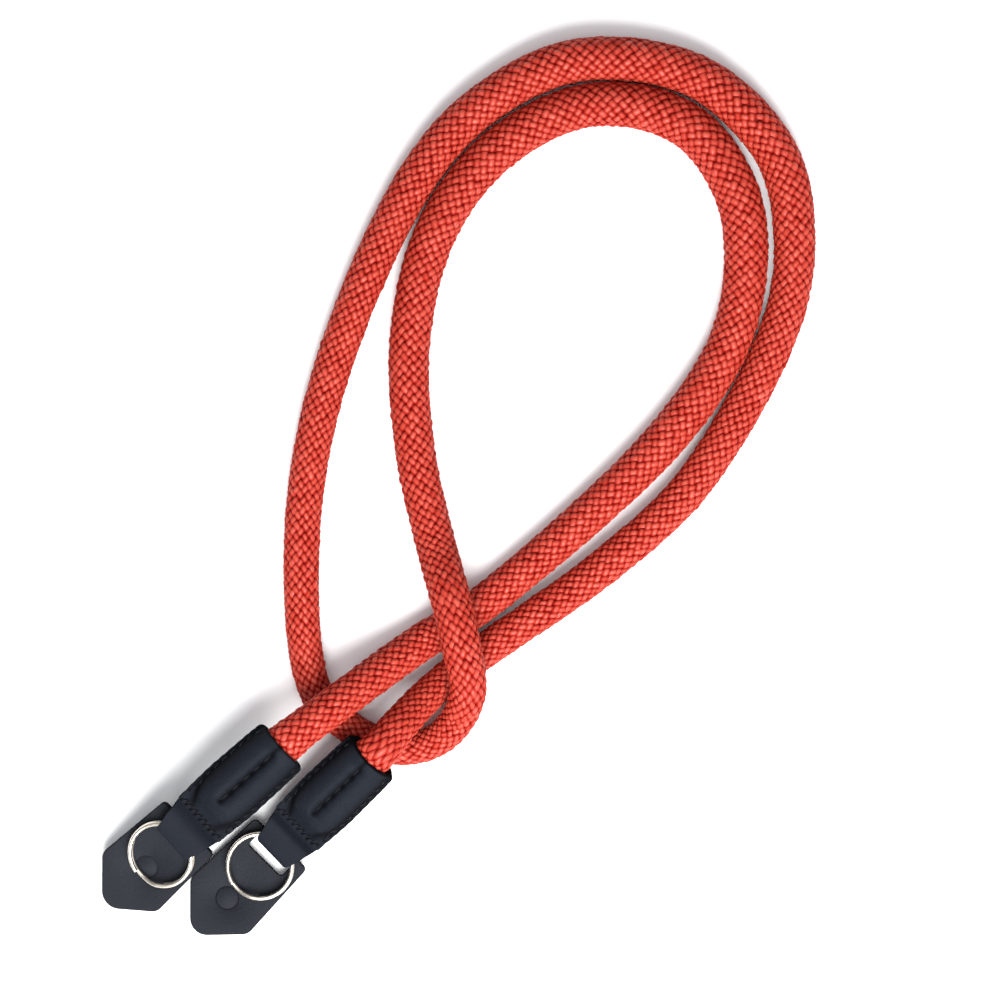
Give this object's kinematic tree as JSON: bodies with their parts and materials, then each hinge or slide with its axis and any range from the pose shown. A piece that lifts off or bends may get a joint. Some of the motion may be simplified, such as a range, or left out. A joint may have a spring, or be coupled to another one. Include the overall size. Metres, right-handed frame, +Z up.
{
  "type": "camera rope strap",
  "caption": "Braided rope strap laid in a loose double loop, with sewn leather sleeves, split rings and shield-shaped leather protectors at its ends.",
  "frame": {"origin": "on the surface that the strap lies on, under the middle of the two leather ends' bounding box", "axes": "+X to the picture's right, +Y to its top, +Z up"},
  "size_m": [0.1781, 0.2245, 0.021],
  "materials": {
    "braid": "matt braid",
    "leather": "semi-matt",
    "steel": "polished"
  },
  "bodies": {
    "root": {"rope": "braid", "left_sleeve": "leather", "right_sleeve": "leather", "left_ring": "steel", "right_ring": "steel", "left_protector": "leather", "right_protector": "leather"}
  },
  "joints": []
}
